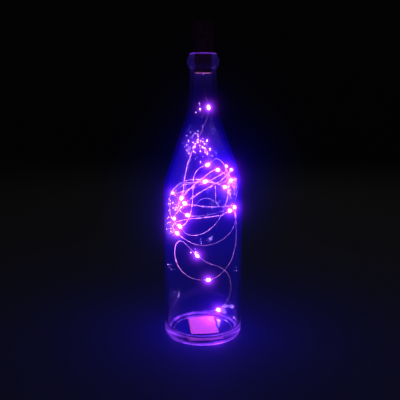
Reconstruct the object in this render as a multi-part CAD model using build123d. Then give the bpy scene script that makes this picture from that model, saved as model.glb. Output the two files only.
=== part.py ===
from build123d import *
import math
import os

os.makedirs("parts", exist_ok=True)

# A clear bottle lit from inside: a cork-style stopper holds three button cells and a push switch,
# and a thin two-strand wire with small lamps hangs from it and lies in loose loops in the bottle.
# Millimetres, +Z up, origin on the axis at the level that the bottle stands on.

# Cells and battery chamber
cell_radius = 5.8
cell_height = 5.4
cell_count = 3
cell_clearance = 0.25
cell_cap_radius = 4.8
cell_cap_rise = 0.25
cell_gasket_width = 0.5
cell_gasket_depth = 0.7
press_gap = 0.02
tube_wall = 1.2
fit_clearance = 0.05
plate_thickness = 0.4
plate_clearance = 0.15
spring_height = 2.6
spring_foot_radius = 4.4
spring_top_radius = 2.6
spring_wall = 0.5
strip_width = 3.0
strip_thickness = 0.4
strip_web = 0.4

# Stopper
plug_depth = 20.0
plug_wall = 1.8
plug_floor = 12.0
plug_chamfer = 0.8
head_wall = 1.75
seam_chamfer = 0.3
seat_gap = 0.05
exit_radius = 2.5
glue_drop = 1.0
glue_tip_radius = 1.3

# Switch cap
spigot_wall = 1.0
spigot_clearance = 0.1
spigot_lip = 1.2
spigot_foot_gap = 0.3
shelf_thickness = 1.5
cap_height = 16.0
cap_wall = 1.6
roof_thickness = 2.0
cap_round = 1.2
board_radius = 7.2
board_thickness = 1.2
board_clearance = 0.1
board_depth = 3.3
contact_height = 1.3
contact_radius = 1.5
contact_foot_radius = 3.0
contact_foot_thickness = 0.3
contact_gap = 0.05
screw_spread = 5.4
screw_radius = 0.7
screw_length = 5.2
screw_head_radius = 1.2
screw_head_height = 0.7
screw_hole_clearance = 0.1
boss_wall = 0.8
boss_height = 6.5
can_width = 6.0
can_height = 3.5
plunger_radius = 1.75
plunger_rise = 1.0
plunger_depth = 0.8
plunger_room = 0.9
plunger_clearance = 0.06
driver_length = 3.0
driver_width = 2.0
driver_height = 0.9
resistor_length = 2.0
resistor_width = 1.2
resistor_height = 0.5
board_part_offset = 4.9

# Button
button_radius = 4.35
button_clearance = 0.15
button_rise = 0.9
button_round = 0.5
flange_width = 1.2
flange_thickness = 1.4
flange_gap = 0.05
stem_radius = 1.7

# Glass
plug_clearance = 0.15
rim_width = 4.75
rim_drop = 1.6
rim_slant = 0.5
rim_round = 1.2
mouth_round = 0.5
mouth_length = 24.0
mouth_end_round = 30.0
ring_overhang = 2.4
ring_drop = 7.7
ring_foot_drop = 15.5
ring_foot_wall = 4.25
bore_flare = 1.75
neck_wall = 4.0
neck_rise = 55.0
neck_round = 60.0
neck_bore_round = 40.0
shoulder_rise = 78.0
shoulder_round = 80.0
shoulder_wall = 3.3
body_height = 167.0
body_radius = 42.0
body_wall = 3.3
base_thickness = 6.0
heel_round = 6.0
floor_round = 7.0
foot_width = 3.5
hollow_depth = 2.0
hollow_slant = 1.5
hollow_round = 0.8

# Blank paper label in the hollow under the base
label_width = 30.0
label_thickness = 0.15
label_turn = 7.0
label_shift = 2.4
label_margin = 0.4

# Wire and lamps
wire_diameter = 0.85
lead_length = 25.0
lamp_count = 20
lamp_pitch = 98.8
first_lamp = 34.0
drop_radius = 1.7
drop_length = 4.6
drop_round = 1.0
drop_clearance = 0.22
chip_width = 1.0
chip_height = 0.5
chip_length = 1.6
run_share = 0.45
gap_step = 2.0
gap_skip = 20.0

# Radii, from the cells outwards
tube_bore = cell_radius + cell_clearance
tube_radius = tube_bore + tube_wall
chamber_radius = tube_radius + fit_clearance
plug_radius = chamber_radius + plug_wall
mouth_radius = plug_radius + plug_clearance
spigot_bore = board_radius + board_clearance
spigot_radius = spigot_bore + spigot_wall
socket_radius = spigot_radius + spigot_clearance
head_radius = socket_radius + head_wall
rim_radius = mouth_radius + rim_width
ring_radius = rim_radius + ring_overhang
ring_foot_radius = mouth_radius + ring_foot_wall
neck_bore_radius = mouth_radius + bore_flare
neck_radius = neck_bore_radius + neck_wall
inner_radius = body_radius - body_wall
hollow_radius = body_radius - heel_round - foot_width

# Heights, from the table upwards
floor_z = hollow_depth + base_thickness
neck_z = body_height + shoulder_rise
mouth_z = neck_z + neck_rise
plug_z = mouth_z - plug_depth
exit_z = plug_z - glue_drop
chamber_z = plug_z + plug_floor
spring_z = chamber_z + plate_thickness
cells_z = spring_z + spring_height
contact_z = cells_z + cell_count * cell_height
board_z = contact_z + contact_height
board_top_z = board_z + board_thickness
seam_z = board_top_z + board_depth
spigot_z = board_z - spigot_lip
ledge_z = spigot_z - spigot_foot_gap
can_top_z = board_top_z + can_height
plunger_z = can_top_z + plunger_rise
shelf_z = seam_z + shelf_thickness
cap_top_z = seam_z + cap_height
roof_z = cap_top_z - roof_thickness
button_top_z = cap_top_z + button_rise


def turned(*lines):
    """Solid of revolution about Z from lines drawn as (radius, height) that close a half section."""
    edges = [edge for line in lines for edge in line.edges()]
    return revolve(Plane.XZ * make_face(edges), axis=Axis.Z)


def turned_outline(*points):
    """Solid of revolution about Z from the corners of a half section."""
    return turned(Polyline(*points, close=True))


def rod(radius, z_low, z_high, x=0.0, y=0.0):
    """Upright round rod between two heights."""
    return Pos(x, y, z_low) * Cylinder(radius, z_high - z_low, align=(Align.CENTER, Align.CENTER, Align.MIN))


def block(x_low, x_high, y_low, y_high, z_low, z_high):
    """Box between three pairs of faces."""
    size = Box(x_high - x_low, y_high - y_low, z_high - z_low, align=Align.MIN)
    return Pos(x_low, y_low, z_low) * size


def save(node, shape):
    """Write one node and print how many solids it holds."""
    export_step(shape, f"parts/{node}.step")
    print(f"{node}: {len(shape.solids())} solid, {shape.volume:.1f} mm3")


# Glass bottle
slope = (body_radius - neck_radius) / shoulder_rise
slope_shift = shoulder_wall / math.cos(math.atan(slope))
inner_shoulder_z = body_height + (body_radius - slope_shift - inner_radius) / slope
inner_neck_z = body_height + (body_radius - slope_shift - neck_bore_radius) / slope

outside = FilletPolyline(
    (0, hollow_depth),
    (hollow_radius - hollow_slant, hollow_depth),
    (hollow_radius, 0),
    (body_radius, 0),
    (body_radius, body_height),
    (neck_radius, neck_z),
    (ring_foot_radius, mouth_z - ring_foot_drop),
    radius=[hollow_round, hollow_round, heel_round, shoulder_round, neck_round],
)
mouth_ring = ThreePointArc(
    (ring_foot_radius, mouth_z - ring_foot_drop),
    (ring_radius, mouth_z - ring_drop),
    (rim_radius, mouth_z - rim_drop),
)
inside = FilletPolyline(
    (rim_radius, mouth_z - rim_drop),
    (rim_radius - rim_slant, mouth_z),
    (mouth_radius, mouth_z),
    (mouth_radius, mouth_z - mouth_length),
    (neck_bore_radius, inner_neck_z),
    (inner_radius, inner_shoulder_z),
    (inner_radius, floor_z),
    (0, floor_z),
    radius=[
        rim_round, mouth_round, mouth_end_round, neck_bore_round, shoulder_round - shoulder_wall, floor_round
    ],
)
axis_line = Line((0, floor_z), (0, hollow_depth))
glass_bottle = turned(outside, mouth_ring, inside, axis_line)

label_reach = hollow_radius - hollow_slant - label_shift - label_margin
label_length = 2 * math.sqrt(label_reach**2 - (label_width / 2) ** 2)
label_sheet = Box(label_width, label_length, label_thickness, align=(Align.CENTER, Align.CENTER, Align.MAX))
base_label = Pos(0, label_shift, hollow_depth) * Rot(0, 0, label_turn) * label_sheet

# Stopper: cork-style sleeve with the battery chamber
cork_sleeve = turned_outline(
    (exit_radius, plug_z),
    (plug_radius - plug_chamfer, plug_z),
    (plug_radius, plug_z + plug_chamfer),
    (plug_radius, mouth_z + seat_gap),
    (head_radius, mouth_z + seat_gap),
    (head_radius, seam_z - seat_gap - seam_chamfer),
    (head_radius - seam_chamfer, seam_z - seat_gap),
    (socket_radius, seam_z - seat_gap),
    (socket_radius, ledge_z),
    (chamber_radius, ledge_z),
    (chamber_radius, chamber_z),
    (exit_radius, chamber_z),
)
glue_radius = exit_radius - press_gap
exit_plug = turned_outline(
    (0, exit_z),
    (glue_tip_radius, exit_z),
    (glue_radius, plug_z),
    (glue_radius, chamber_z),
    (0, chamber_z),
)
strip_face = tube_bore + strip_web
battery_tube = rod(tube_radius, chamber_z, ledge_z) - rod(tube_bore, chamber_z, ledge_z)
groove_half = strip_width / 2 + fit_clearance
battery_tube -= block(-groove_half, groove_half, strip_face - press_gap, chamber_radius, chamber_z, ledge_z)
side_strip = block(
    -strip_width / 2,
    strip_width / 2,
    strip_face,
    strip_face + strip_thickness,
    chamber_z,
    board_z - contact_gap,
)
negative_plate = rod(tube_bore - plate_clearance, chamber_z, spring_z)
cell_spring = turned_outline(
    (spring_foot_radius - spring_wall, spring_z),
    (spring_foot_radius, spring_z),
    (spring_top_radius, cells_z),
    (spring_top_radius - spring_wall, cells_z),
)

cell_cans = []
cell_gaskets = []
cell_caps = []
gasket_radius = cell_cap_radius + cell_gasket_width
for number in range(cell_count):
    low = cells_z + number * cell_height
    recess_z = low + cell_cap_rise + cell_gasket_depth
    can = rod(cell_radius, low + cell_cap_rise, low + cell_height)
    can -= rod(gasket_radius + press_gap, low + cell_cap_rise, recess_z)
    ring = rod(gasket_radius, low + cell_cap_rise, recess_z)
    ring -= rod(cell_cap_radius + press_gap, low + cell_cap_rise, recess_z)
    cell_cans.append(can)
    cell_gaskets.append(ring)
    cell_caps.append(rod(cell_cap_radius, low, recess_z))

# Switch cap: shell with a spigot, and the board that it carries
button_hole = button_radius + button_clearance
cap_outside = FilletPolyline(
    (head_radius - seam_chamfer, seam_z),
    (head_radius, seam_z + seam_chamfer),
    (head_radius, cap_top_z),
    (button_hole, cap_top_z),
    radius=[seam_chamfer / 2, cap_round],
)
cap_inside = Polyline(
    (button_hole, cap_top_z),
    (button_hole, roof_z),
    (head_radius - cap_wall, roof_z),
    (head_radius - cap_wall, shelf_z),
    (spigot_bore, shelf_z),
    (spigot_bore, spigot_z),
    (spigot_radius, spigot_z),
    (spigot_radius, seam_z),
    (head_radius - seam_chamfer, seam_z),
)
cap_shell = turned(cap_outside, cap_inside)
boss_radius = screw_radius + boss_wall
screw_top_z = board_z + screw_length
for side in (-1, 1):
    boss = rod(boss_radius, board_top_z, board_top_z + boss_height, side * screw_spread)
    rib_low, rib_high = sorted((side * screw_spread, side * (spigot_bore + spigot_wall / 2)))
    boss += block(rib_low, rib_high, -boss_radius, boss_radius, board_top_z, board_top_z + boss_height)
    hole = rod(screw_radius + press_gap, board_top_z, screw_top_z + press_gap, side * screw_spread)
    cap_shell = cap_shell + boss - hole

circuit_board = rod(board_radius, board_z, board_top_z)
board_screws = []
for side in (-1, 1):
    hole_radius = screw_radius + screw_hole_clearance
    circuit_board -= rod(hole_radius, board_z, board_top_z, side * screw_spread)
    screw = rod(screw_radius, board_z, screw_top_z, side * screw_spread)
    screw += rod(screw_head_radius, board_z - screw_head_height, board_z, side * screw_spread)
    board_screws.append(screw)

positive_contact = rod(contact_radius, contact_z + contact_gap, board_z)
positive_contact += rod(contact_foot_radius, board_z - contact_foot_thickness, board_z)
half_can = can_width / 2
switch_can = block(-half_can, half_can, -half_can, half_can, board_top_z, can_top_z)
plunger_foot_z = can_top_z - plunger_depth
switch_can -= rod(plunger_radius + plunger_clearance, plunger_foot_z - plunger_room, can_top_z)
driver_chip = block(
    -driver_length / 2,
    driver_length / 2,
    -board_part_offset - driver_width / 2,
    -board_part_offset + driver_width / 2,
    board_top_z,
    board_top_z + driver_height,
)
chip_resistor = block(
    -resistor_length / 2,
    resistor_length / 2,
    board_part_offset - resistor_width / 2,
    board_part_offset + resistor_width / 2,
    board_top_z,
    board_top_z + resistor_height,
)

# Push button and the switch's plunger under it
flange_top_z = roof_z - flange_gap
button_outline = FilletPolyline(
    (0, plunger_z),
    (stem_radius, plunger_z),
    (stem_radius, flange_top_z - flange_thickness),
    (button_radius + flange_width, flange_top_z - flange_thickness),
    (button_radius + flange_width, flange_top_z),
    (button_radius, flange_top_z),
    (button_radius, button_top_z),
    (0, button_top_z),
    radius=[button_round / 2] * 4 + [button_round / 4, button_round],
)
button_cap = turned(button_outline, Line((0, button_top_z), (0, plunger_z)))
switch_plunger = rod(plunger_radius, plunger_foot_z, plunger_z)

# Light wire: its route as hand-chosen points, from the stopper to the far end
route = [
    (0, 0, exit_z), (0, 0, 265), (8, 0, 243), (-3, -6, 219), (-14, -9, 195), (-19, -11, 174),
    (-21, -15, 155), (-27, -8, 139), (-31, 6, 138), (-23, 19, 149), (-8, 24, 163), (7, 22, 175),
    (16, 16, 180), (26, 10, 174), (33, 4, 161), (34, -8, 156), (30, -17, 168), (23, -15, 185),
    (17, -16, 194), (11, -20, 195), (6, -24, 189), (-3, -26, 187), (-9, -27, 180), (-10, -28, 168),
    (-10, -29, 154), (-12, -27, 140), (-17, -24, 128), (-25, -17, 123), (-31, -6, 127), (-31, 6, 131),
    (-22, 16, 140), (-7, 20, 151), (10, 18, 161), (22, 9, 169), (30, 0, 181), (29, -9, 182),
    (25, -16, 172), (16, -23, 169), (4, -26, 173), (-9, -23, 175), (-23, -17, 170), (-31, -6, 162),
    (-34, 7, 154), (-29, 21, 152), (-16, 31, 155), (1, 34, 161), (16, 28, 169), (25, 18, 176),
    (25, 9, 184), (25, 1, 184), (25, -5, 175), (26, -10, 160), (25, -20, 149), (17, -28, 146),
    (9, -31, 156), (-2, -34, 157), (-8, -34, 148), (-17, -31, 150), (-27, -20, 156), (-30, -6, 158),
    (-25, 8, 162), (-10, 19, 165), (9, 21, 165), (26, 11, 161), (28, 1, 157), (25, -8, 151),
    (22, -15, 141), (15, -19, 129), (4, -19, 118), (-8, -19, 114), (-17, -24, 117), (-21, -28, 124),
    (-26, -25, 130), (-32, -17, 132), (-35, -6, 138), (-36, -3, 149), (-33, -12, 159), (-25, -22, 168),
    (-14, -31, 173), (-3, -34, 171), (5, -33, 175), (11, -32, 173), (13, -33, 164), (12, -34, 152),
    (20, -30, 146), (29, -21, 147), (35, -8, 152), (36, 1, 159), (34, 6, 167), (32, 13, 170),
    (30, 19, 165), (29, 18, 155), (31, 8, 148), (31, -3, 147), (27, -16, 144), (16, -28, 141),
    (2, -34, 139), (-14, -33, 138), (-24, -24, 142), (-23, -9, 144), (-14, 5, 143), (1, 13, 139),
    (16, 15, 138), (29, 11, 140), (35, 2, 142), (35, -8, 132), (31, -18, 121), (21, -28, 113),
    (7, -34, 108), (-7, -34, 108), (-20, -28, 114), (-30, -17, 120), (-33, -3, 123), (-26, 11, 124),
    (-11, 20, 124), (7, 22, 125), (22, 19, 128), (29, 14, 134), (33, 7, 137), (35, 0, 133), (36, -2, 122),
    (36, -3, 110), (34, -9, 99), (30, -18, 88), (22, -27, 79), (13, -33, 73), (3, -35, 71), (-10, -34, 72),
    (-22, -28, 78), (-29, -18, 89), (-30, -7, 101), (-24, 3, 105), (-15, 5, 95), (-6, 5, 85), (5, 6, 77),
    (17, 9, 73), (28, 12, 65), (33, 14, 51), (32, 17, 36), (26, 23, 21), (16, 29, 12), (8, 31, 11),
]


def corner_radius(before, corner, after):
    """Largest arc that two runs leave room for at their common corner."""
    arriving = corner - before
    leaving = after - corner
    half_turn = math.radians(arriving.get_angle(leaving)) / 2
    return run_share * min(arriving.length, leaving.length) / math.tan(half_turn)


wire_points = [Vector(*spot) for spot in route]
wire_radii = [corner_radius(*wire_points[index - 1 : index + 2]) for index in range(1, len(wire_points) - 1)]
wire_path = FilletPolyline(*wire_points, radius=wire_radii)
wire_radius = wire_diameter / 2
wire_section = Plane(origin=wire_path @ 0, z_dir=wire_path % 0) * Circle(wire_radius)
whole_wire = sweep(wire_section, path=wire_path)
lead_plane = Plane(origin=(0, 0, exit_z - lead_length))
wire_lead = split(whole_wire, bisect_by=lead_plane, keep=Keep.TOP)
light_wire = split(whole_wire, bisect_by=lead_plane, keep=Keep.BOTTOM)

# Lamps: a chip beside the wire inside a clear drop that the wire passes through
drop_bore = wire_radius + drop_clearance
half_drop = drop_length / 2
half_chip = chip_width / 2
chip_top = drop_bore + chip_height
one_chip = block(drop_bore, chip_top, -half_chip, half_chip, -chip_length / 2, chip_length / 2)
pocket_half = half_chip + press_gap
pocket_reach = chip_length / 2 + press_gap
one_drop = rod(drop_radius, -half_drop, half_drop)
one_drop = fillet(one_drop.edges().filter_by(GeomType.CIRCLE), drop_round)
one_drop -= rod(drop_bore, -drop_length, drop_length)
one_drop -= block(0, chip_top + press_gap, -pocket_half, pocket_half, -pocket_reach, pocket_reach)
led_chips = []
led_drops = []
for number in range(lamp_count):
    station = first_lamp + number * lamp_pitch
    near = wire_path.position_at(station - half_drop, position_mode=PositionMode.LENGTH)
    middle = wire_path.position_at(station, position_mode=PositionMode.LENGTH)
    far = wire_path.position_at(station + half_drop, position_mode=PositionMode.LENGTH)
    seat = Plane(origin=(near + middle * 2 + far) / 4, z_dir=far - near)
    led_chips.append(seat * one_chip)
    led_drops.append(seat * one_drop)

print("wire radii:", " ".join(f"{radius:.1f}" for radius in wire_radii))
wire_section_area = math.pi * wire_radius**2
print(f"wire length {wire_path.length:.1f} mm, tube over section times length",
      f"{whole_wire.volume / (wire_section_area * wire_path.length):.4f}")
step_count = int(wire_path.length / gap_step)
steps = [
    wire_path.position_at(index * gap_step, position_mode=PositionMode.LENGTH)
    for index in range(step_count)
]
skip = int(gap_skip / gap_step)
least = min((steps[j] - steps[i]).length for i in range(step_count) for j in range(i + skip, step_count))
print(f"least gap of the wire to itself, on points: {least - wire_diameter:.2f} mm")

save("glass_bottle", glass_bottle)
save("base_label", base_label)
save("cork_sleeve", cork_sleeve)
save("exit_plug", exit_plug)
save("battery_tube", battery_tube)
save("side_strip", side_strip)
save("negative_plate", negative_plate)
save("cell_spring", cell_spring)
save("cell_cans", Compound(children=cell_cans))
save("cell_gaskets", Compound(children=cell_gaskets))
save("cell_caps", Compound(children=cell_caps))
save("cap_shell", cap_shell)
save("circuit_board", circuit_board)
save("board_screws", Compound(children=board_screws))
save("positive_contact", positive_contact)
save("switch_can", switch_can)
save("driver_chip", driver_chip)
save("chip_resistor", chip_resistor)
save("button_cap", button_cap)
save("switch_plunger", switch_plunger)
save("wire_lead", wire_lead)
save("light_wire", light_wire)
save("led_chips", Compound(children=led_chips))
save("led_drops", Compound(children=led_drops))
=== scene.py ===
"""Looks of a bottle light: a clear bottle, a cork-style stopper and a string of violet lamps inside."""

import logging
import math
import random
from dataclasses import dataclass, field
from enum import Enum
from functools import cache, cached_property
from typing import Mapping, Protocol, Sequence, Union

import bpy
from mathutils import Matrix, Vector


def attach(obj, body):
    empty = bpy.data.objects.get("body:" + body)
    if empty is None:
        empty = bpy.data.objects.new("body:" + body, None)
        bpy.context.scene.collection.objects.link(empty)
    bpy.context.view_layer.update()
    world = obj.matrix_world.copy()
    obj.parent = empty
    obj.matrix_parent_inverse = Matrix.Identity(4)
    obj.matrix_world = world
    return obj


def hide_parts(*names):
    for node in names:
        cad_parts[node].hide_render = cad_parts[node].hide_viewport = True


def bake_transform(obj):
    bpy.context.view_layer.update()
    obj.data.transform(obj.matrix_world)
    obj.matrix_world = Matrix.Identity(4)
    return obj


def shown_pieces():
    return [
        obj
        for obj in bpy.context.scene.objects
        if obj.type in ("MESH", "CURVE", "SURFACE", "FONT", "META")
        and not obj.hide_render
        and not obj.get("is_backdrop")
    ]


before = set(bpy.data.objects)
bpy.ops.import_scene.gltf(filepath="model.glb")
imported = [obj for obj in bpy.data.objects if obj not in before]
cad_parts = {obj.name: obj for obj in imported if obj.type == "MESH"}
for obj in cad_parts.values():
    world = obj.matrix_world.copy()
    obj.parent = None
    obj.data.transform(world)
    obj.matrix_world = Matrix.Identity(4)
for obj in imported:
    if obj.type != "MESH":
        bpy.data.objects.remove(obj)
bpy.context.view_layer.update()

log = logging.getLogger("bottle_light")

Colour = tuple[float, float, float]
Value = Union[float, int, bool, Sequence[float], bpy.types.NodeSocket]
Inputs = Mapping[Union[str, int], Value]
Faces = list[tuple[int, ...]]

BLACK: Colour = (0.0, 0.0, 0.0)
WHITE: Colour = (1.0, 1.0, 1.0)
MM_PER_METRE = 1000
# Numbers of the mix node's sockets for colours: share, first, second and the result.
MIXED_COLOURS = (0, 6, 7)
MIX_RESULT = 2


class Body(Enum):
    """Rigid groups of the part that pieces ride on."""

    BOTTLE = "bottle"
    STOPPER = "stopper"


class Slot(Enum):
    """Material slots of the record whose names the new pieces' finishes bear."""

    WIRE = "copper_wire"
    DROP = "lamp_drop"


class Passing(Enum):
    """Outputs of the light path node that tell which light a surface lets pass."""

    LAMPLIGHT = "Is Shadow Ray"
    REFLECTED = "Glossy Depth"


class Tree:
    """Adds nodes to one shader tree and joins their sockets."""

    def __init__(self, tree: bpy.types.NodeTree) -> None:
        """Keep the tree that this writer adds to."""
        self.tree = tree

    def add(self, kind: str, inputs: Inputs | None = None, **settings: Value) -> bpy.types.Node:
        """Add one node.

        Args:
            kind: Blender's name of the node type.
            inputs: Values or output sockets by the name or number of the input that they go to.
            **settings: Properties of the node itself.

        Returns:
            The new node.
        """
        made = self.tree.nodes.new(kind)
        for name, value in settings.items():
            setattr(made, name, value)
        for name, value in (inputs or {}).items():
            self.put(made.inputs[name], value)
        return made

    def put(self, socket: bpy.types.NodeSocket, value: Value) -> None:
        """Set an input socket to a value, or link it to an output socket.

        Args:
            socket: The input.
            value: A number, a vector, a colour or another node's output.
        """
        if isinstance(value, bpy.types.NodeSocket):
            self.tree.links.new(value, socket)
        elif socket.type == "RGBA":
            socket.default_value = (*value, 1.0)[:4]
        else:
            socket.default_value = value

    def place(self) -> bpy.types.NodeSocket:
        """Position on the piece, in metres of its own frame."""
        return self.add("ShaderNodeTexCoord").outputs["Object"]

    def noise(self, scale: Value, detail: float, roughness: float = 0.55) -> bpy.types.NodeSocket:
        """Soft noise over the piece, about 0.25 to 0.75; its scale is features per metre."""
        inputs = {"Vector": self.place(), "Scale": scale, "Detail": detail, "Roughness": roughness}
        return self.add("ShaderNodeTexNoise", inputs).outputs["Fac"]

    def spread(
        self, value: Value, low: Value, high: Value, start: Value = 0.0, end: Value = 1.0
    ) -> bpy.types.NodeSocket:
        """Value moved from the range of low and high to that of start and end, held at both ends."""
        inputs = {"Value": value, "From Min": low, "From Max": high, "To Min": start, "To Max": end}
        return self.add("ShaderNodeMapRange", inputs).outputs["Result"]

    def blend(self, share: Value, first: Value, second: Value) -> bpy.types.NodeSocket:
        """Colour between two colours: the first at a share of 0, the second at 1."""
        made = self.add("ShaderNodeMix", dict(zip(MIXED_COLOURS, (share, first, second))), data_type="RGBA")
        return made.outputs[MIX_RESULT]

    def maths(self, operation: str, first: Value, second: Value = 0.0) -> bpy.types.NodeSocket:
        """Result of one sum on two numbers."""
        return self.add("ShaderNodeMath", {0: first, 1: second}, operation=operation).outputs["Value"]

    def vectors(self, operation: str, first: Value, second: Value = (0.0, 0.0, 0.0)) -> bpy.types.Node:
        """Node with the result of one sum on two vectors."""
        return self.add("ShaderNodeVectorMath", {0: first, 1: second}, operation=operation)

    def times(self, first: Value, second: Value) -> bpy.types.NodeSocket:
        """Product of two numbers."""
        return self.maths("MULTIPLY", first, second)

    def heights(self) -> bpy.types.NodeSocket:
        """Height on the piece above the table, in metres."""
        return self.add("ShaderNodeSeparateXYZ", {"Vector": self.place()}).outputs["Z"]


class Effects:
    """Shader node groups that several finishes share, each built once, at its first use."""

    # Cork: how the granules' outlines bend, what their tone is made of, and the seams and pits between them.
    BEND_SCALE = 1.7
    BEND_DEPTH = 0.0016
    FINE_SCALE = 5.0
    TONE_SHARE = 0.7
    FINE_SHARE = 0.45
    SEAM_WIDTH = 0.07
    SEAM_SHADE = 0.55
    PIT_SCALE = 0.9
    GRANULE_RISE = 0.4
    # Moulded grain: its broad clouds against its fine texture.
    BROAD_SCALE = 0.08
    BROAD_SHARE = 0.5
    # Drawn metal: how lines are stretched, and the size and dullness of tarnish.
    LINE_STRETCH = (0.06, 0.06, 1.0)
    TARNISH_SCALE = 320.0
    BRIGHT = 0.2
    DULL = 0.42

    @staticmethod
    def _begin(
        name: str, outputs: Sequence[str], **inputs: Value
    ) -> tuple[Tree, Mapping[str, bpy.types.NodeSocket]]:
        """Start a node group with its sockets.

        Args:
            name: Name of the group.
            outputs: Names of what it puts out; Colour is a colour, and any other a number.
            **inputs: Default values by name with underscores for spaces; a tuple makes a colour.

        Returns:
            The group's writer, and the sockets that its inputs come in by.
        """
        group = bpy.data.node_groups.new(name, "ShaderNodeTree")
        for label, value in inputs.items():
            kind = "NodeSocketColor" if isinstance(value, tuple) else "NodeSocketFloat"
            socket = group.interface.new_socket(label.replace("_", " "), in_out="INPUT", socket_type=kind)
            socket.default_value = (*value, 1.0) if isinstance(value, tuple) else value
        for label in outputs:
            kind = "NodeSocketColor" if label == "Colour" else "NodeSocketFloat"
            group.interface.new_socket(label, in_out="OUTPUT", socket_type=kind)
        tree = Tree(group)
        return tree, {socket.name: socket for socket in tree.add("NodeGroupInput").outputs}

    @staticmethod
    def _hand_over(tree: Tree, **results: bpy.types.NodeSocket) -> bpy.types.NodeTree:
        """Join a group's results to its outputs and give back the group."""
        tree.add("NodeGroupOutput", results)
        return tree.tree

    @cached_property
    def mottle(self) -> bpy.types.NodeTree:
        """Cloudy change between two colours, with its noise as a height.

        Returns:
            The group.
        """
        greys = {"Dark": (0.4, 0.4, 0.4), "Light": (0.6, 0.6, 0.6)}
        tree, given = self._begin("mottle", ("Colour", "Height"), Scale=200.0, **greys)
        cloud = tree.noise(given["Scale"], detail=5.0, roughness=0.6)
        share = tree.spread(cloud, low=0.32, high=0.68)
        return self._hand_over(tree, Colour=tree.blend(share, given["Dark"], given["Light"]), Height=cloud)

    @cached_property
    def granules(self) -> bpy.types.NodeTree:
        """Pressed cork granules of several browns, with dark pits and seams between them.

        Returns:
            The group.
        """
        browns = {"Light": (0.6, 0.4, 0.2), "Dark": (0.3, 0.2, 0.1), "Pit": (0.08, 0.04, 0.02)}
        tree, given = self._begin("cork_granules", ("Colour", "Height"), Scale=420.0, **browns)
        scale = given["Scale"]
        bends = {"Vector": tree.place(), "Scale": tree.times(scale, self.BEND_SCALE)}
        bend = tree.add("ShaderNodeTexNoise", bends).outputs["Color"]
        drift = tree.vectors("MULTIPLY", bend, (self.BEND_DEPTH,) * 3).outputs["Vector"]
        moved = tree.vectors("ADD", tree.place(), drift).outputs["Vector"]
        where = {"Vector": moved, "Scale": scale}
        cells = tree.add("ShaderNodeTexVoronoi", where, feature="F1")
        seams = tree.add("ShaderNodeTexVoronoi", where, feature="DISTANCE_TO_EDGE")
        tone = tree.add("ShaderNodeSeparateColor", {"Color": cells.outputs["Color"]}).outputs["Red"]
        fine = tree.noise(tree.times(scale, self.FINE_SCALE), detail=4.0, roughness=0.65)
        tone = tree.times(tone, self.TONE_SHARE)
        share = tree.maths("ADD", tone, tree.times(fine, self.FINE_SHARE))
        granule = tree.blend(tree.spread(share, low=0.2, high=0.95), given["Dark"], given["Light"])
        seam = tree.spread(seams.outputs["Distance"], 0.0, self.SEAM_WIDTH, start=1.0, end=0.0)
        spots = tree.noise(tree.times(scale, self.PIT_SCALE), detail=3.0)
        pit = tree.spread(spots, low=0.62, high=0.69)
        dark = tree.maths("MAXIMUM", tree.times(seam, self.SEAM_SHADE), pit)
        rise = tree.maths("SUBTRACT", tree.times(share, self.GRANULE_RISE), dark)
        return self._hand_over(tree, Colour=tree.blend(dark, granule, given["Pit"]), Height=rise)

    @cached_property
    def grain(self) -> bpy.types.NodeTree:
        """Fine moulded texture: a height, and a roughness between two limits.

        Returns:
            The group.
        """
        limits = {"Smooth": 0.35, "Rough": 0.55}
        tree, given = self._begin("moulded_grain", ("Roughness", "Height"), Scale=3000.0, **limits)
        fine = tree.noise(given["Scale"], detail=2.0)
        broad = tree.noise(tree.times(given["Scale"], self.BROAD_SCALE), detail=4.0)
        level = tree.spread(broad, low=0.3, high=0.7, start=given["Smooth"], end=given["Rough"])
        rise = tree.maths("ADD", fine, tree.times(broad, self.BROAD_SHARE))
        return self._hand_over(tree, Roughness=level, Height=rise)

    @cached_property
    def brushing(self) -> bpy.types.NodeTree:
        """Fine drawn lines round the upright axis, for plated and pressed metal.

        Returns:
            The group.
        """
        greys = {"Dark": (0.5, 0.5, 0.5), "Light": (0.7, 0.7, 0.7)}
        tree, given = self._begin("drawn_lines", ("Colour", "Roughness", "Height"), Scale=2500.0, **greys)
        drawn = tree.add("ShaderNodeMapping", {"Vector": tree.place(), "Scale": self.LINE_STRETCH})
        inputs = {"Vector": drawn.outputs["Vector"], "Scale": given["Scale"], "Detail": 3.0}
        lines = tree.add("ShaderNodeTexNoise", inputs).outputs["Fac"]
        tarnish = tree.noise(self.TARNISH_SCALE, detail=4.0)
        share = tree.spread(tree.maths("ADD", lines, tarnish), low=0.75, high=1.25)
        colour = tree.blend(share, given["Dark"], given["Light"])
        level = tree.spread(tarnish, low=0.3, high=0.7, start=self.BRIGHT, end=self.DULL)
        return self._hand_over(tree, Colour=colour, Roughness=level, Height=lines)

    @cached_property
    def wear(self) -> bpy.types.NodeTree:
        """Rubbed patches that are dense at one height and gone at another.

        Returns:
            The group.
        """
        heights = {"Worn_Height": 0.0, "Clean_Height": 0.003}
        tree, given = self._begin("rubbed_band", ("Mask",), Scale=900.0, **heights)
        near = tree.spread(tree.heights(), given["Clean Height"], given["Worn Height"])
        patches = tree.spread(tree.noise(given["Scale"], detail=6.0, roughness=0.7), low=0.4, high=0.62)
        return self._hand_over(tree, Mask=tree.times(near, patches))


SHARED = Effects()


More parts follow.
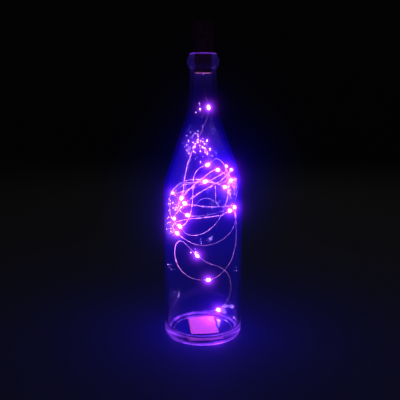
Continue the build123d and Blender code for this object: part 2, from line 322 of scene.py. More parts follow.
class Surface:
    """One material under construction: its writer and its main shader."""

    def __init__(self, name: str, **plain: Value) -> None:
        """Make an empty material with one main shader.

        Args:
            name: Name of the material.
            **plain: Values that hold all over, by socket name with underscores for spaces.
        """
        self.material = bpy.data.materials.new(name)
        self.material.use_nodes = True
        self.material.node_tree.nodes.clear()
        self.tree = Tree(self.material.node_tree)
        self.shader = self.tree.add("ShaderNodeBsdfPrincipled")
        self.output = self.tree.add("ShaderNodeOutputMaterial", {"Surface": self.shader.outputs["BSDF"]})
        self.set(**plain)

    def effect(self, group: bpy.types.NodeTree, **inputs: Value) -> Mapping[str, bpy.types.NodeSocket]:
        """Place a shared effect with this material's own values.

        Args:
            group: The shared node group.
            **inputs: Values by socket name with underscores for spaces.

        Returns:
            The effect's output sockets by name.
        """
        given = {label.replace("_", " "): value for label, value in inputs.items()}
        placed = self.tree.add("ShaderNodeGroup", given, node_tree=group)
        return {socket.name: socket for socket in placed.outputs}

    def set(self, **inputs: Value) -> None:
        """Set or link inputs of the main shader by name, with underscores for spaces."""
        for label, value in inputs.items():
            self.tree.put(self.shader.inputs[label.replace("_", " ")], value)

    def bump(self, height: bpy.types.NodeSocket, depth: float, strength: float = 1.0) -> None:
        """Raise the surface: at full strength, a height of 1 stands out by the depth, in metres."""
        inputs = {"Height": height, "Distance": depth, "Strength": strength}
        self.set(Normal=self.tree.add("ShaderNodeBump", inputs).outputs["Normal"])

    def let_through(self, light: Passing, tint: Colour) -> None:
        """Let one kind of light pass as if the surface were not there.

        Args:
            light: What passes.
            tint: Colour of the light that has passed.
        """
        passes = self.tree.add("ShaderNodeLightPath").outputs[light.value]
        clear = self.tree.add("ShaderNodeBsdfTransparent", {"Color": tint}).outputs["BSDF"]
        inputs = {0: passes, 1: self.shader.outputs["BSDF"], 2: clear}
        mix = self.tree.add("ShaderNodeMixShader", inputs).outputs["Shader"]
        self.tree.put(self.output.inputs["Surface"], mix)


@dataclass(frozen=True)
class PaintedRimGlow:
    """One ring of painted glow on the glass, standing in for light that the wall carries there.

    It is strongest at its radius and height, and gone at its width from there. Sizes are in metres.
    """

    radius: float
    height: float
    width: float
    strength: float


@dataclass(frozen=True)
class PaintedGlintPatch:
    """One patch of small painted glints on the glass, densest in its middle.

    It ends at its reach. The veil is the strength of a soft painted shine over the same patch.
    """

    middle: tuple[float, float, float]
    reach: float
    painted_veil: float = 0.0


@dataclass(frozen=True)
class ClearGlass:
    """Pressed clear glass: faintly wavy, smudged, and scuffed where it stands, with a painted glow at its
    rims and painted glints.
    """

    name: str = "clear_glass"
    clean: Colour = (0.985, 0.99, 0.99)
    smudged: Colour = (0.94, 0.96, 0.97)
    shadow: Colour = (0.93, 0.94, 0.95)
    film: float = 0.0035
    greasy: float = 0.05
    scuffed: float = 0.45
    wave_scale: float = 75.0
    wave_depth: float = 0.0005
    wave_strength: float = 0.35
    painted_glow_strength: float = 14.0
    painted_rim_colour: Colour = (0.075, 0.012, 0.27)
    patch_scale: float = 70.0
    patch_least: float = 0.15
    painted_rims: tuple[PaintedRimGlow, ...] = (
        PaintedRimGlow(0.0132, 0.2997, 0.0016, 0.26),
        PaintedRimGlow(0.0365, 0.0075, 0.0010, 0.85),
        PaintedRimGlow(0.0402, 0.0018, 0.0027, 0.75),
    )
    painted_glint_colour: Colour = (0.6, 0.22, 1.0)
    painted_glint_scale: float = 430.0
    painted_glint_size: float = 0.27
    painted_glint_core: float = 0.4
    painted_glint_chance: tuple[float, float] = (0.4, 0.5)
    painted_glints: tuple[PaintedGlintPatch, ...] = (
        PaintedGlintPatch((-0.004, -0.026, 0.209), 0.034),
        PaintedGlintPatch((-0.006, -0.014, 0.246), 0.011),
        PaintedGlintPatch((-0.030, -0.029, 0.148), 0.024, 0.022),
        PaintedGlintPatch((-0.033, -0.026, 0.127), 0.024, 0.028),
        PaintedGlintPatch((0.027, -0.030, 0.168), 0.022, 0.015),
        PaintedGlintPatch((-0.009, -0.041, 0.102), 0.012),
        PaintedGlintPatch((-0.035, -0.022, 0.081), 0.009),
        PaintedGlintPatch((0.036, -0.021, 0.081), 0.009),
    )

    def material(self) -> bpy.types.Material:
        """Make the material.

        Returns:
            The finished material.
        """
        look = Surface(self.name, IOR=1.5, Metallic=0.0, Transmission_Weight=1.0 - self.film)
        # Painted light: the glass glows at its rims and in small glints by emission, though it is no lamp.
        look.set(Emission_Color=self._painted_glow(look.tree), Emission_Strength=self.painted_glow_strength)
        look.material.cycles.emission_sampling = "NONE"
        smudge = look.effect(SHARED.mottle, Scale=45.0, Dark=self.smudged, Light=self.clean)
        scuff = look.effect(SHARED.wear, Worn_Height=0.0, Clean_Height=0.0025, Scale=900.0)["Mask"]
        grease = look.tree.spread(smudge["Height"], low=0.25, high=0.75, start=self.greasy, end=0.0)
        scuff = look.tree.times(scuff, self.scuffed)
        look.set(Base_Color=smudge["Colour"], Roughness=look.tree.maths("MAXIMUM", grease, scuff))
        waves = look.effect(SHARED.mottle, Scale=self.wave_scale)["Height"]
        look.bump(waves, self.wave_depth, self.wave_strength)
        look.let_through(Passing.LAMPLIGHT, self.shadow)
        return look.material

    def _painted_glow(self, tree: Tree) -> bpy.types.NodeSocket:
        """Painted glow at the glass's rims and painted glints in patches, as emission in the colour of
        lamplight.

        Args:
            tree: Writer of the material.

        Returns:
            The colour of that painted light.
        """
        cloud = tree.noise(self.patch_scale, detail=3.0)
        patches = tree.spread(cloud, low=0.35, high=0.65, start=self.patch_least)
        flat = tree.vectors("MULTIPLY", tree.place(), (1.0, 1.0, 0.0)).outputs["Vector"]
        radius = tree.vectors("LENGTH", flat).outputs["Value"]
        # Painted rim glow: strongest at each rim's radius and height, gone at its width, in uneven patches.
        lit: Value = 0.0
        for rim in self.painted_rims:
            sideways = tree.maths("POWER", tree.maths("SUBTRACT", radius, rim.radius), 2.0)
            upright = tree.maths("POWER", tree.maths("SUBTRACT", tree.heights(), rim.height), 2.0)
            apart = tree.maths("SQRT", tree.maths("ADD", sideways, upright))
            near = tree.spread(apart, 0.0, rim.width, start=rim.strength, end=0.0)
            lit = tree.maths("MAXIMUM", lit, near)
        painted_rims = tree.blend(tree.times(lit, patches), BLACK, self.painted_rim_colour)
        # Painted glints: small round dots, chosen at random within each patch, with a soft painted shine over
        # the patches.
        cells = tree.add("ShaderNodeTexVoronoi", {"Vector": tree.place(), "Scale": self.painted_glint_scale})
        core = self.painted_glint_core * self.painted_glint_size
        dots = tree.spread(cells.outputs["Distance"], core, self.painted_glint_size, start=1.0, end=0.0)
        chance = tree.add("ShaderNodeSeparateColor", {"Color": cells.outputs["Color"]}).outputs["Red"]
        gathered: Value = 0.0
        painted_veil: Value = 0.0
        for patch in self.painted_glints:
            apart = tree.vectors("DISTANCE", tree.place(), patch.middle).outputs["Value"]
            near = tree.spread(apart, 0.0, patch.reach, start=1.0, end=0.0)
            gathered = tree.maths("MAXIMUM", gathered, near)
            soft = tree.times(tree.maths("POWER", near, 2.0), patch.painted_veil)
            painted_veil = tree.maths("MAXIMUM", painted_veil, soft)
        chosen = tree.spread(tree.times(chance, gathered), *self.painted_glint_chance)
        dots = tree.times(dots, chosen)
        painted_veil = tree.times(painted_veil, patches)
        # Painted glints and painted shine in their colour, over the painted rim glow.
        return tree.blend(tree.maths("MAXIMUM", dots, painted_veil), painted_rims, self.painted_glint_colour)


@dataclass(frozen=True)
class Paper:
    """Matt blank paper with a little fibre in it."""

    name: str = "label_paper"
    light: Colour = (0.86, 0.84, 0.83)
    dark: Colour = (0.74, 0.71, 0.70)
    fibre_depth: float = 0.00004

    def material(self) -> bpy.types.Material:
        """Make the material.

        Returns:
            The finished material.
        """
        look = Surface(self.name, Specular_IOR_Level=0.2)
        fibre = look.effect(SHARED.mottle, Scale=900.0, Dark=self.dark, Light=self.light)
        press = look.effect(SHARED.grain, Scale=2200.0, Smooth=0.75, Rough=0.92)
        look.set(Base_Color=fibre["Colour"], Roughness=press["Roughness"])
        look.bump(fibre["Height"], self.fibre_depth)
        look.let_through(Passing.REFLECTED, WHITE)
        return look.material


@dataclass(frozen=True)
class Cork:
    """Pressed cork granules, darkened where fingers rub it."""

    name: str
    light: Colour = (0.50, 0.29, 0.15)
    dark: Colour = (0.26, 0.13, 0.06)
    pit: Colour = (0.06, 0.025, 0.012)
    scale: float = 520.0
    worn_height: float = 0.333
    clean_height: float = 0.322
    stain: float = 0.5
    polish: float = 0.2
    pit_depth: float = 0.00035

    def material(self) -> bpy.types.Material:
        """Make the material.

        Returns:
            The finished material.
        """
        look = Surface(self.name, Specular_IOR_Level=0.3)
        browns = {"Light": self.light, "Dark": self.dark, "Pit": self.pit}
        grains = look.effect(SHARED.granules, Scale=self.scale, **browns)
        heights = {"Worn_Height": self.worn_height, "Clean_Height": self.clean_height}
        rubbed = look.effect(SHARED.wear, Scale=500.0, **heights)["Mask"]
        stain = look.tree.times(rubbed, self.stain)
        polish = look.tree.times(rubbed, self.polish)
        dull = look.effect(SHARED.grain, Scale=1800.0, Smooth=0.62, Rough=0.85)["Roughness"]
        look.set(Base_Color=look.tree.blend(stain, grains["Colour"], self.dark))
        look.set(Roughness=look.tree.maths("SUBTRACT", dull, polish))
        look.bump(grains["Height"], self.pit_depth)
        return look.material


@dataclass(frozen=True)
class Plastic:
    """Moulded plastic with a fine grain and a slightly uneven tone."""

    name: str
    light: Colour
    dark: Colour
    smooth: float = 0.35
    rough: float = 0.55
    scale: float = 3200.0
    depth: float = 0.00003
    clear: float = 0.0
    coat: float = 0.0
    tone_scale: float = 0.12

    def material(self) -> bpy.types.Material:
        """Make the material.

        Returns:
            The finished material.
        """
        look = Surface(self.name, Transmission_Weight=self.clear, Coat_Weight=self.coat)
        tone_scale = self.scale * self.tone_scale
        tone = look.effect(SHARED.mottle, Scale=tone_scale, Dark=self.dark, Light=self.light)
        grain = look.effect(SHARED.grain, Scale=self.scale, Smooth=self.smooth, Rough=self.rough)
        look.set(Base_Color=tone["Colour"], Roughness=grain["Roughness"])
        look.bump(grain["Height"], self.depth)
        return look.material


@dataclass(frozen=True)
class Metal:
    """Drawn, plated or enamelled metal with faint lines and tarnish."""

    name: str
    light: Colour
    dark: Colour
    scale: float = 2600.0
    depth: float = 0.00001
    enamel: float = 0.0
    bare: float = 1.0

    def material(self) -> bpy.types.Material:
        """Make the material.

        Returns:
            The finished material.
        """
        look = Surface(self.name, Metallic=self.bare, Coat_Weight=self.enamel, Coat_Roughness=0.12)
        lines = look.effect(SHARED.brushing, Scale=self.scale, Dark=self.dark, Light=self.light)
        look.set(Base_Color=lines["Colour"], Roughness=lines["Roughness"])
        look.bump(lines["Height"], self.depth)
        return look.material


@dataclass(frozen=True)
class LampGlow:
    """Clear resin or chip that shines violet, brightest at its middle."""

    name: str
    strength: float
    middle: Colour = (0.56, 0.26, 1.0)
    ends: Colour = (0.30, 0.06, 1.0)
    resin: Colour = (0.78, 0.70, 0.95)
    dark_resin: Colour = (0.7, 0.6, 0.9)

    def material(self) -> bpy.types.Material:
        """Make the material.

        Returns:
            The finished material.
        """
        look = Surface(self.name, Emission_Strength=self.strength, Coat_Weight=0.8, Coat_Roughness=0.08)
        core = look.tree.add("ShaderNodeAttribute", attribute_name=LightString.CORE).outputs["Fac"]
        tone = look.effect(SHARED.mottle, Scale=900.0, Dark=self.dark_resin, Light=self.resin)
        grain = look.effect(SHARED.grain, Scale=1500.0, Smooth=0.08, Rough=0.2)
        shine = look.tree.blend(core, self.ends, self.middle)
        look.set(Base_Color=tone["Colour"], Roughness=grain["Roughness"], Emission_Color=shine)
        look.let_through(Passing.LAMPLIGHT, WHITE)
        return look.material


class Finish(Protocol):
    """Anything that makes a material."""

    def material(self) -> bpy.types.Material:
        """Make the material."""


@cache
def material_of(finish: Finish) -> bpy.types.Material:
    """Material of a finish, made when it is first asked for."""
    return finish.material()


def dress(finish: Finish, *nodes: str) -> None:
    """Give solids of the frame a finish.

    Args:
        finish: The finish.
        *nodes: Names of the solids' nodes.
    """
    material = material_of(finish)
    for node in nodes:
        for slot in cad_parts[node].material_slots:
            slot.material = material
        log.info("dressed %s in %s", node, material.name)


def put_in_scene(name: str, data: bpy.types.ID, place: Sequence[float] = (0.0, 0.0, 0.0)) -> bpy.types.Object:
    """Make an object and link it to the scene.

    Args:
        name: Name of the object.
        data: Its mesh, lamp or camera.
        place: Where its origin is.

    Returns:
        The new object.
    """
    made = bpy.data.objects.new(name, data)
    made.location = place
    bpy.context.scene.collection.objects.link(made)
    return made


def new_piece(
    name: str, places: Sequence[Sequence[float]], faces: Faces, material: bpy.types.Material
) -> bpy.types.Object:
    """Make a smooth-shaded object.

    Args:
        name: Name of the piece.
        places: Its vertices, in the frame's coordinates.
        faces: Its faces, as vertex numbers.
        material: Its finish.

    Returns:
        The new object, linked to the scene.
    """
    mesh = bpy.data.meshes.new(name)
    mesh.from_pydata(places, [], faces)
    mesh.materials.append(material)
    mesh.shade_smooth()
    log.info("built %s with %d faces", name, len(faces))
    return put_in_scene(name, mesh)


def gather(name: str, pieces: Sequence[str]) -> bpy.types.Collection:
    """Collect the pieces that a light falls on.

    Args:
        name: Name of the light.
        pieces: Names of the pieces.

    Returns:
        Their collection, which isn't part of the scene's own.
    """
    collection = bpy.data.collections.new(f"{name}_reach")
    for piece in pieces:
        collection.objects.link(bpy.data.objects[piece])
    return collection


def tube_faces(first: int, rings: int, sides: int) -> Faces:
    """Faces of a tube that is closed at both ends.

    Args:
        first: Number of its first vertex.
        rings: How many rings of vertices it has.
        sides: How many vertices each ring has.

    Returns:
        The walls and then the two ends, as vertex numbers.
    """
    faces = []
    end = first + (rings - 1) * sides
    for near in range(first, end, sides):
        far = near + sides
        for step in range(sides):
            beside = (step + 1) % sides
            faces.append((near + step, near + beside, far + beside, far + step))
    faces.append(tuple(reversed(range(first, first + sides))))
    faces.append(tuple(range(end, end + sides)))
    return faces


@dataclass
class Bottle:
    """Glass bottle and the blank label under its base."""

    glass: ClearGlass = ClearGlass()
    label: Paper = Paper()

    def build(self) -> None:
        """Dress the bottle's solids."""
        dress(self.glass, "glass_bottle")
        dress(self.label, "base_label")


# Route of the wire from the stopper to its far end, in millimetres.
WIRE_ROUTE: tuple[tuple[int, int, int], ...] = (
    (0, 0, 279), (0, 0, 265), (8, 0, 243), (-3, -6, 219), (-14, -9, 195), (-19, -11, 174), (-21, -15, 155),
    (-27, -8, 139), (-31, 6, 138), (-23, 19, 149), (-8, 24, 163), (7, 22, 175), (16, 16, 180),
    (26, 10, 174), (33, 4, 161), (34, -8, 156), (30, -17, 168), (23, -15, 185), (17, -16, 194),
    (11, -20, 195), (6, -24, 189), (-3, -26, 187), (-9, -27, 180), (-10, -28, 168), (-10, -29, 154),
    (-12, -27, 140), (-17, -24, 128), (-25, -17, 123), (-31, -6, 127), (-31, 6, 131), (-22, 16, 140),
    (-7, 20, 151), (10, 18, 161), (22, 9, 169), (30, 0, 181), (29, -9, 182), (25, -16, 172), (16, -23, 169),
    (4, -26, 173), (-9, -23, 175), (-23, -17, 170), (-31, -6, 162), (-34, 7, 154), (-29, 21, 152),
    (-16, 31, 155), (1, 34, 161), (16, 28, 169), (25, 18, 176), (25, 9, 184), (25, 1, 184), (25, -5, 175),
    (26, -10, 160), (25, -20, 149), (17, -28, 146), (9, -31, 156), (-2, -34, 157), (-8, -34, 148),
    (-17, -31, 150), (-27, -20, 156), (-30, -6, 158), (-25, 8, 162), (-10, 19, 165), (9, 21, 165),
    (26, 11, 161), (28, 1, 157), (25, -8, 151), (22, -15, 141), (15, -19, 129), (4, -19, 118),
    (-8, -19, 114), (-17, -24, 117), (-21, -28, 124), (-26, -25, 130), (-32, -17, 132), (-35, -6, 138),
    (-36, -3, 149), (-33, -12, 159), (-25, -22, 168), (-14, -31, 173), (-3, -34, 171), (5, -33, 175),
    (11, -32, 173), (13, -33, 164), (12, -34, 152), (20, -30, 146), (29, -21, 147), (35, -8, 152),
    (36, 1, 159), (34, 6, 167), (32, 13, 170), (30, 19, 165), (29, 18, 155), (31, 8, 148), (31, -3, 147),
    (27, -16, 144), (16, -28, 141), (2, -34, 139), (-14, -33, 138), (-24, -24, 142), (-23, -9, 144),
    (-14, 5, 143), (1, 13, 139), (16, 15, 138), (29, 11, 140), (35, 2, 142), (35, -8, 132), (31, -18, 121),
    (21, -28, 113), (7, -34, 108), (-7, -34, 108), (-20, -28, 114), (-30, -17, 120), (-33, -3, 123),
    (-26, 11, 124), (-11, 20, 124), (7, 22, 125), (22, 19, 128), (29, 14, 134), (33, 7, 137), (35, 0, 133),
    (36, -2, 122), (36, -3, 110), (34, -9, 99), (30, -18, 88), (22, -27, 79), (13, -33, 73), (3, -35, 71),
    (-10, -34, 72), (-22, -28, 78), (-29, -18, 89), (-30, -7, 101), (-24, 3, 105), (-15, 5, 95),
    (-6, 5, 85), (5, 6, 77), (17, 9, 73), (28, 12, 65), (33, 14, 51), (32, 17, 36), (26, 23, 21),
    (16, 29, 12), (8, 31, 11),
)


@dataclass(frozen=True)
class LampLight:
    """Light that falls on some pieces only, in the colour that a camera sees there.

    Attributes:
        pieces: Pieces that it falls on; none stands for those that no other lamplight names.
        reach: Distance of a point from the bottle's axis, as a share of its lamp's.
        shown: Whether a point shows in reflections and through glass.
        shadowed: Whether other pieces throw shadows in it.
        fade: Distance at which it has died away, in metres; 0 for light that only thins out.
        fade_start: Share of that distance at which it begins to die away.
        size: Radius of a point, in metres.
    """

    name: str
    power: float
    colour: Colour
    pieces: tuple[str, ...] = ()
    reach: float = 1.0
    shown: bool = True
    shadowed: bool = True
    fade: float = 0.0
    fade_start: float = 0.3
    size: float = 0.00085

    def hang(self, name: str, place: Vector, share: float, lit: bpy.types.Collection) -> None:
        """Hang one point of this light.

        Args:
            name: Name of the point.
            place: Where it is.
            share: Share of the power that it has.
            lit: The pieces that it falls on.
        """
        lamp = bpy.data.lights.new(name, "POINT")
        lamp.energy = self.power * share
        lamp.color = self.colour
        lamp.shadow_soft_size = self.size
        lamp.use_shadow = self.shadowed
        if self.fade:
            self._fade_out(lamp)
        spot = put_in_scene(name, lamp, place)
        spot.visible_glossy = self.shown
        spot.visible_transmission = self.shown
        spot.light_linking.receiver_collection = lit

    def _fade_out(self, lamp: bpy.types.PointLight) -> None:
        """Let a point die away over a distance, faster than it would by itself.

        Args:
            lamp: The point of light.
        """
        lamp.use_nodes = True
        lamp.node_tree.nodes.clear()
        tree = Tree(lamp.node_tree)
        far = tree.add("ShaderNodeLightPath").outputs["Ray Length"]
        strength = tree.spread(far, self.fade_start * self.fade, self.fade, start=1.0, end=0.0)
        glow = tree.add("ShaderNodeEmission", {"Strength": strength})
        tree.add("ShaderNodeOutputLight", {"Surface": glow.outputs["Emission"]})


@dataclass
class LightString:
    """Two-strand enamelled wire with resin drops along it, each over a lit chip."""

    CORE = "core"

    length: float = 1.923
    diameter: float = 0.00085
    strand_radius: float = 0.00021
    strand_lay: float = 0.016
    strand_sides: int = 7
    spline_steps: int = 20
    drop_radius: float = 0.0017
    drop_half_length: float = 0.0023
    drop_rings: int = 14
    drop_sides: int = 16
    drop_thinnest: float = 0.93
    drop_lean: float = 0.12
    drop_bulge: float = 0.05
    bulge_turn: float = 60
    drop_form: float = 0.4
    stretch_foot: float = 0.252
    stretch_top: float = 0.277
    seed: int = 11
    copper: Metal = Metal(
        "copper_wire", (0.93, 0.66, 0.55), (0.80, 0.48, 0.36), 1800.0, depth=0.000008, enamel=0.7, bare=0.4
    )
    lights: tuple[LampLight, ...] = (
        LampLight("haze", 0.48, (0.012, 0.0, 1.0), ("glass_bottle",), reach=0.8, shown=False),
        LampLight("gleam", 0.28, (0.34, 0.15, 1.0), ("light_string_wire",), fade=0.085),
        LampLight("blush", 0.092, (0.7, 0.07, 1.0), ("base_label",)),
        LampLight("wash", 0.06, (0.2, 0.03, 1.0)),
    )
    axis_lights: tuple[tuple[LampLight, float], ...] = (
        (LampLight("mouth", 0.2, (0.13, 0.04, 1.0), ("glass_bottle",), shown=False, shadowed=False), 0.292),
        (LampLight("foot", 0.09, (0.34, 0.18, 1.0), ("cork_sleeve",), shown=False, shadowed=False), 0.262),
        (LampLight("spill_high", 0.05, (0.012, 0.0, 1.0), ("floor",), size=0.025), 0.15),
        (LampLight("spill_low", 0.05, (0.012, 0.0, 1.0), ("floor",), size=0.025), 0.03),
    )
    neck_height: float = 0.22
    neck_share: float = 0.055
    resin: LampGlow = LampGlow("lamp_drop", 14.0)
    chip: LampGlow = LampGlow("lamp_chip", 14.0)
    line: list[Vector] = field(default_factory=list)
    runs: list[float] = field(default_factory=list)
    lamps: list[tuple[Vector, Vector]] = field(default_factory=list)

    def build(self) -> None:
        self._follow_route()
        self._find_lamps()
        places, faces, core = self._form_drops()
        drops = new_piece("lamp_drops", places, faces, material_of(self.resin))
        drops.data.attributes.new(self.CORE, "FLOAT", "POINT").data.foreach_set("value", core)
        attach(drops, Body.BOTTLE.value)
        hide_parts("led_drops")
        dress(self.chip, "led_chips")
        wire = new_piece("light_string_wire", *self._wind_strands(), material_of(self.copper))
        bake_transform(wire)
        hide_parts("light_wire", "wire_lead")

    def light_up(self, lit: Sequence[bpy.types.Object]) -> None:
        """Hang points of light in each lamp and on the bottle's axis.

        Args:
            lit: The pieces of the object.
        """
        for piece in lit:
            piece.visible_diffuse = False
        names = [piece.name for piece in lit]
        for glowing in ("lamp_drops", "led_chips"):
            bpy.data.objects[glowing].light_linking.receiver_collection = gather("shine", names)
        named = [name for light in self.lights for name in light.pieces]
        rest = [name for name in names if name not in named]
        for light in self.lights:
            reached = gather(light.name, light.pieces or rest)
            for number, (centre, _) in enumerate(self.lamps):
                share = self.neck_share if centre.z > self.neck_height else 1.0
                place = Vector((centre.x * light.reach, centre.y * light.reach, centre.z))
                light.hang(f"{light.name}_{number}", place, share, reached)
        for light, height in self.axis_lights:
            light.hang(light.name, Vector((0.0, 0.0, height)), 1.0, gather(light.name, light.pieces))

    def _find_lamps(self) -> None:
        """Read where the chips sit, and the nearest point and direction of the wire there."""
        chips: list[list[Vector]] = []
        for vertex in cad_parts["led_chips"].data.vertices:
            near = [chip for chip in chips if (chip[0] - vertex.co).length < 2 * self.drop_half_length]
            if near:
                near[0].append(vertex.co.copy())
            else:
                chips.append([vertex.co.copy()])
        for chip in chips:
            middle = sum(chip, Vector()) / len(chip)
            index = min(range(1, len(self.line) - 1), key=lambda i: (self.line[i] - middle).length)
            along = (self.line[index + 1] - self.line[index - 1]).normalized()
            centre = self.line[index] + (middle - self.line[index]).dot(along) * along
            self.lamps.append((centre, along))
        log.info("found %d lamps", len(self.lamps))

    def _follow_route(self) -> None:
        """Lay a smooth spline along the route and read its points and running length."""
        curve = bpy.data.curves.new("wire_route", "CURVE")
        curve.dimensions = "3D"
        spline = curve.splines.new("NURBS")
        spline.points.add(len(WIRE_ROUTE) - 1)
        for point, place in zip(spline.points, WIRE_ROUTE):
            point.co = (*(part / MM_PER_METRE for part in place), 1.0)
        spline.order_u = 3
        spline.use_endpoint_u = True
        spline.resolution_u = self.spline_steps
        guide = bpy.data.objects.new("wire_route", curve)
        smooth = bpy.data.meshes.new_from_object(guide)
        self.line = [vertex.co.copy() for vertex in smooth.vertices]
        bpy.data.objects.remove(guide)
        self.runs = [0.0]
        for before, after in zip(self.line, self.line[1:]):
            self.runs.append(self.runs[-1] + (after - before).length)
        log.info("wire spline is %.4f m long on %d points", self.runs[-1], len(self.line))

    def _sides(self) -> list[tuple[Vector, Vector]]:
        """Find two side directions at each point, carried along without twist.

        Returns:
            The two directions, point by point.
        """
        sides = []
        side = Vector((1.0, 0.0, 0.0))
        last = len(self.line) - 1
        for index in range(last + 1):
            along = (self.line[min(index + 1, last)] - self.line[max(index - 1, 0)]).normalized()
            side = (side - side.dot(along) * along).normalized()
            sides.append((side, along.cross(side)))
        return sides

    def _wind_strands(self) -> tuple[list[Vector], Faces]:
        """Wind two thin strands round each other along the spline.

        Returns:
            Their vertices and faces.
        """
        places, faces = [], []
        sides = self._sides()
        reach = self.diameter / 2 - self.strand_radius
        for strand in range(2):
            faces += tube_faces(len(places), len(self.line), self.strand_sides)
            for point, run, (side, up) in zip(self.line, self.runs, sides):
                turn = 2 * math.pi * run / self.strand_lay + strand * math.pi
                centre = point + reach * (math.cos(turn) * side + math.sin(turn) * up)
                for step in range(self.strand_sides):
                    angle = 2 * math.pi * step / self.strand_sides
                    outward = math.cos(angle) * side + math.sin(angle) * up
                    places.append(centre + self.strand_radius * outward)
        return places, faces

    def _form_drops(self) -> tuple[list[Vector], Faces, list[float]]:
        """Form resin drops: slightly uneven beads that taper on to the wire at both ends.

        Returns:
            Their vertices and faces, and how fat the drop is at each vertex.
        """
        chance = random.Random(self.seed)
        places, faces, core = [], [], []
        tail = self.diameter / 2
        for centre, along in self.lamps:
            side = along.orthogonal().normalized()
            up = along.cross(side)
            width = self.drop_radius * chance.uniform(self.drop_thinnest, 1.0)
            lean = chance.uniform(-self.drop_lean, self.drop_lean)
            bulge = [chance.uniform(-self.drop_bulge, self.drop_bulge) for _ in range(3)]
            faces += tube_faces(len(places), self.drop_rings + 1, self.drop_sides)
            for ring in range(self.drop_rings + 1):
                t = 2 * ring / self.drop_rings - 1
                fat = max(0.0, 1 - (t - lean * (1 - t * t)) ** 2) ** self.drop_form
                for step in range(self.drop_sides):
                    angle = 2 * math.pi * step / self.drop_sides
                    turns = ((k + 1) * angle + 2 * b * self.bulge_turn for k, b in enumerate(bulge))
                    uneven = 1 + sum(b * math.cos(turn) for b, turn in zip(bulge, turns)) * fat
                    radius = tail + (width - tail) * fat * uneven
                    offset = radius * (math.cos(angle) * side + math.sin(angle) * up)
                    places.append(centre + t * self.drop_half_length * along + offset)
                    core.append(fat)
        return places, faces, core


# Finishes that the stopper and its cap share.
BRASS = Metal("contact_brass", (0.84, 0.66, 0.34), (0.62, 0.45, 0.2))
NICKEL = Metal("cell_steel", (0.78, 0.78, 0.79), (0.6, 0.6, 0.62))


@dataclass
class Stopper:
    """Cork-style sleeve with the battery tube, the cells and their contacts inside."""

    cork: Cork = Cork("cork")
    glue: Plastic = Plastic(
        "glue", (0.86, 0.82, 0.72), (0.74, 0.68, 0.56), 0.18, 0.3, scale=900.0, depth=0.00006, clear=0.35
    )
    tube: Plastic = Plastic("white_plastic", (0.84, 0.84, 0.82), (0.76, 0.76, 0.73))
    gasket: Plastic = Plastic("gasket", (0.05, 0.055, 0.07), (0.03, 0.033, 0.045), 0.5, 0.7)

    def build(self) -> None:
        """Dress the stopper's solids."""
        dress(self.cork, "cork_sleeve")
        dress(self.glue, "exit_plug")
        dress(self.tube, "battery_tube")
        dress(BRASS, "side_strip", "negative_plate")
        dress(NICKEL, "cell_spring", "cell_cans", "cell_caps")
        dress(self.gasket, "cell_gaskets")


@dataclass
class SwitchCap:
    """Cap of the stopper with the circuit board and the switch under it."""

    shell: Cork = Cork("cork_cap")
    mask: Plastic = Plastic(
        "board", (0.03, 0.16, 0.06), (0.015, 0.10, 0.035), 0.2, 0.34, scale=1400.0, depth=0.00002, coat=0.6
    )
    pressed: Metal = Metal("switch_metal", (0.7, 0.7, 0.7), (0.5, 0.5, 0.51))
    black: Plastic = Plastic("black_plastic", (0.028, 0.028, 0.03), (0.014, 0.014, 0.015), 0.4, 0.6)

    def build(self) -> None:
        """Dress the cap's solids."""
        dress(self.shell, "cap_shell")
        dress(self.mask, "circuit_board")
        dress(BRASS, "positive_contact")
        dress(NICKEL, "board_screws")
        dress(self.pressed, "switch_can")
        dress(self.black, "driver_chip", "chip_resistor", "switch_plunger")


@dataclass
class PushButton:
    """Button on top of the cap."""

    brown: Plastic = Plastic("button_plastic", (0.060, 0.038, 0.028), (0.035, 0.021, 0.015), 0.32, 0.5)

    def build(self) -> None:
        """Dress the button."""
        dress(self.brown, "button_cap")


@dataclass(frozen=True)
class SoftLight:
    """One soft square lamp of the studio."""

    name: str
    place: tuple[float, float, float]
    target: tuple[float, float, float]
    size: float
    power: float

    def build(self) -> None:
        """Hang the lamp and aim it."""
        lamp = bpy.data.lights.new(self.name, "AREA")
        lamp.size = self.size
        lamp.energy = self.power
        hung = put_in_scene(self.name, lamp, self.place)
        aim = Vector(self.target) - Vector(self.place)
        hung.rotation_euler = aim.to_track_quat("-Z", "Y").to_euler()


@dataclass(frozen=True)
class Halo:
    """Glow that a lens spreads round very bright lamps."""

    size: float
    strength: float
    tint: Colour
    threshold: float = 1.2
    most: float = 12.0
    smoothness: float = 0.3

    def add_to(self, tree: Tree, picture: bpy.types.NodeSocket) -> bpy.types.NodeSocket:
        """Add the glow to a picture.

        Args:
            tree: Writer of the picture's node tree.
            picture: The picture so far.

        Returns:
            The picture with the glow.
        """
        inputs = {"Image": picture, "Size": self.size, "Strength": self.strength, "Tint": self.tint}
        inputs |= {"Threshold": self.threshold, "Smoothness": self.smoothness}
        inputs |= {"Clamp": True, "Maximum": self.most}
        return tree.add("CompositorNodeGlare", inputs, glare_type="BLOOM", quality="HIGH").outputs["Image"]


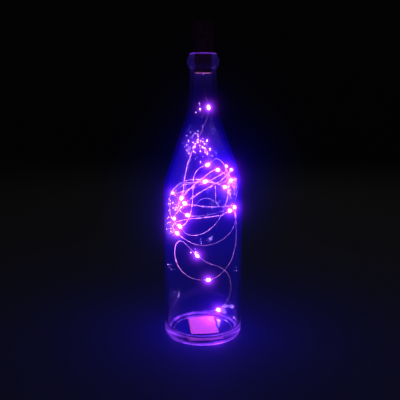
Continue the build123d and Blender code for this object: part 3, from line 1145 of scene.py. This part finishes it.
@dataclass
class Studio:
    """Plain pale floor, soft light, and the camera at the photograph's angle."""

    floor_middle: float = 0.02
    floor_radius: float = 1.8
    sweep_radius: float = 1.1
    wall_height: float = 3.0
    floor_sides: int = 96
    sweep_steps: int = 16
    floor_drop: float = 0.0002
    floor_light: Colour = (0.72, 0.71, 0.70)
    floor_dark: Colour = (0.68, 0.67, 0.66)
    air: Colour = (0.55, 0.6, 0.75)
    air_strength: float = 0.001
    camera_distance: float = 0.582
    camera_height: float = 0.259
    camera_pitch: float = 10.75
    camera_yaw: float = 0.31
    camera_lens: float = 50.04
    camera_sensor: float = 36.0
    camera_clip: float = 0.01
    lights: tuple[SoftLight, ...] = (
        SoftLight("key_light", (-0.7, -0.7, 1.1), (0.0, 0.0, 0.15), 0.9, 0.04),
        SoftLight("fill_light", (0.9, -0.4, 0.8), (0.0, 0.0, 0.15), 0.9, 0.018),
        SoftLight("back_light", (0.2, 0.9, 1.0), (0.0, 0.0, 0.2), 0.8, 0.03),
    )
    halos: tuple[Halo, ...] = (
        Halo(0.02, 3.0, (0.85, 0.25, 1.0)),
        Halo(0.05, 1.2, (0.45, 0.02, 1.0)),
        Halo(0.2, 0.5, (0.04, 0.0, 1.0)),
    )

    def build(self) -> None:
        """Set up floor, lights, camera and the lens glow."""
        self._lay_floor()
        for light in self.lights:
            light.build()
        self._fill_air()
        self._set_camera()
        self._add_lens_glow()

    def _lay_floor(self) -> None:
        """Lay a round pale floor that sweeps up into a wall all round, open at the top."""
        look = Surface("floor", Specular_IOR_Level=0.25)
        tone = look.effect(SHARED.mottle, Scale=9.0, Dark=self.floor_dark, Light=self.floor_light)
        grain = look.effect(SHARED.grain, Scale=700.0, Smooth=0.55, Rough=0.7)
        look.set(Base_Color=tone["Colour"], Roughness=grain["Roughness"])
        profile = [(self.floor_middle, 0.0), (self.floor_radius, 0.0)]
        for step in range(1, self.sweep_steps + 1):
            angle = math.pi / 2 * step / self.sweep_steps
            rise = self.sweep_radius * (1 - math.cos(angle))
            profile.append((self.floor_radius + self.sweep_radius * math.sin(angle), rise))
        profile.append((self.floor_radius + self.sweep_radius, self.wall_height))
        places = [
            (radius * math.cos(angle), radius * math.sin(angle), height - self.floor_drop)
            for radius, height in profile
            for angle in (2 * math.pi * step / self.floor_sides for step in range(self.floor_sides))
        ]
        tube = tube_faces(0, len(profile), self.floor_sides)
        faces = [face[::-1] for face in tube[:-1]]
        new_piece("floor", places, faces, look.material)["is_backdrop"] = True

    def _fill_air(self) -> None:
        """Faint even light from all round."""
        world = bpy.data.worlds.new("studio_air")
        world.use_nodes = True
        background = world.node_tree.nodes["Background"]
        background.inputs["Color"].default_value = (*self.air, 1.0)
        background.inputs["Strength"].default_value = self.air_strength
        bpy.context.scene.world = world

    def _set_camera(self) -> None:
        """Camera at the photograph's height, distance and tilt."""
        lens = bpy.data.cameras.new("camera")
        lens.lens = self.camera_lens
        lens.sensor_width = self.camera_sensor
        lens.clip_start = self.camera_clip
        place = (0.0, -self.camera_distance, self.camera_height)
        camera = put_in_scene("camera", lens, place)
        camera.rotation_euler = (math.radians(90.0 - self.camera_pitch), 0.0, math.radians(self.camera_yaw))
        bpy.context.scene.camera = camera
        bpy.context.scene.view_settings.view_transform = "Standard"

    def _add_lens_glow(self) -> None:
        """Show the picture with the halos that a lens spreads round very bright lamps."""
        scene = bpy.context.scene
        scene.use_nodes = True
        tree = Tree(scene.node_tree)
        scene.node_tree.nodes.clear()
        shown = tree.add("CompositorNodeRLayers").outputs["Image"]
        for halo in self.halos:
            shown = halo.add_to(tree, shown)
        tree.add("CompositorNodeComposite", {"Image": shown})


def main() -> None:
    """Build the light piece by piece."""
    logging.basicConfig(level=logging.INFO, format="%(message)s")
    Studio().build()
    string = LightString()
    string.build()
    for assembly in (Bottle(), Stopper(), SwitchCap(), PushButton()):
        assembly.build()
    string.light_up(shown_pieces())


if __name__ == "__main__":
    main()
